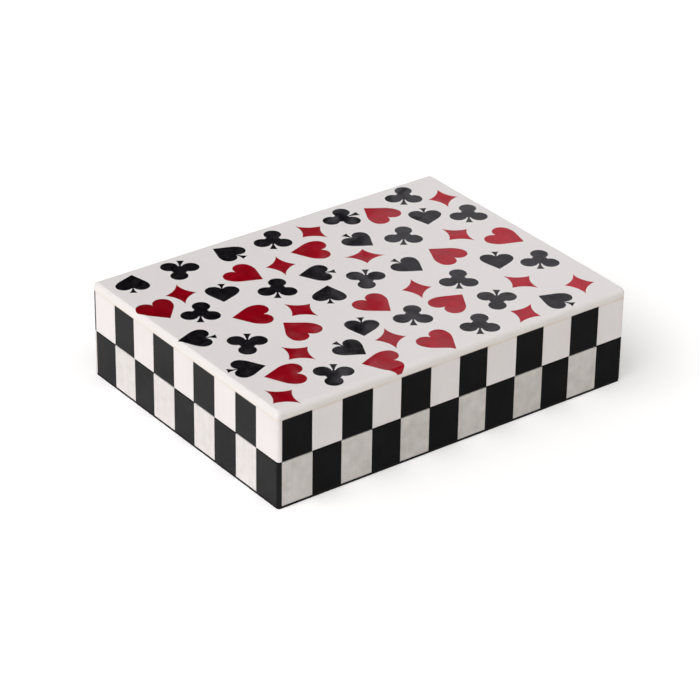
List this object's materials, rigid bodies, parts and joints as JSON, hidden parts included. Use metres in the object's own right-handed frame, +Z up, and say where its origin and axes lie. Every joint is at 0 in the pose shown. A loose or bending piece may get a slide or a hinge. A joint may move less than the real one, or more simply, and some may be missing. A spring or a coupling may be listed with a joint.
{
  "type": "playing card box",
  "caption": "Low rectangular box with a lift-off lid for playing cards: checkered resin tiles round the sides, card suits inlaid in the lid, and a divided velvet-lined tray.",
  "frame": {"origin": "on the table, under the middle of the box", "axes": "+X along the long front side to the right, +Y to the back, +Z up"},
  "size_m": [0.1524, 0.1142, 0.0381],
  "materials": {
    "ivory_resin": "satin polished",
    "mottled_ivory_resin": "satin, cloudy grey mottling",
    "black_resin": "satin polished",
    "red_resin": "satin polished",
    "black_lacquered_board": "black lacquer on fibreboard",
    "velvet": "short-pile velvet",
    "black_felt": "pressed felt"
  },
  "bodies": {
    "base": {"felt_sheet": "black_felt", "tray_floor": "black_lacquered_board", "base_wall_front": "black_lacquered_board", "base_wall_right": "black_lacquered_board", "base_wall_back": "black_lacquered_board", "base_wall_left": "black_lacquered_board", "lip_front": "velvet", "lip_right": "velvet", "lip_back": "velvet", "lip_left": "velvet", "divider": "velvet", "left_well_lining": "velvet", "right_well_lining": "velvet", "base_front_black_tiles": "black_resin", "base_front_ivory_tiles": "mottled_ivory_resin", "base_right_black_tiles": "black_resin", "base_right_ivory_tiles": "mottled_ivory_resin", "base_back_black_tiles": "black_resin", "base_back_ivory_tiles": "mottled_ivory_resin", "base_left_black_tiles": "black_resin", "base_left_ivory_tiles": "mottled_ivory_resin"},
    "lid": {"lid_slab": "ivory_resin", "lid_panel": "black_lacquered_board", "lid_lining": "velvet", "spade_inlays": "black_resin", "club_inlays": "black_resin", "heart_inlays": "red_resin", "diamond_inlays": "red_resin", "lid_wall_front": "black_lacquered_board", "lid_wall_right": "black_lacquered_board", "lid_wall_back": "black_lacquered_board", "lid_wall_left": "black_lacquered_board", "lid_front_black_tiles": "black_resin", "lid_front_ivory_tiles": "ivory_resin", "lid_right_black_tiles": "black_resin", "lid_right_ivory_tiles": "ivory_resin", "lid_back_black_tiles": "black_resin", "lid_back_ivory_tiles": "ivory_resin", "lid_left_black_tiles": "black_resin", "lid_left_ivory_tiles": "ivory_resin"}
  },
  "joints": [
    {"name": "lid_lift", "type": "slide", "parent": "base", "child": "lid", "axis": [0, 0, 1], "range_m": [0, 0.1]}
  ]
}
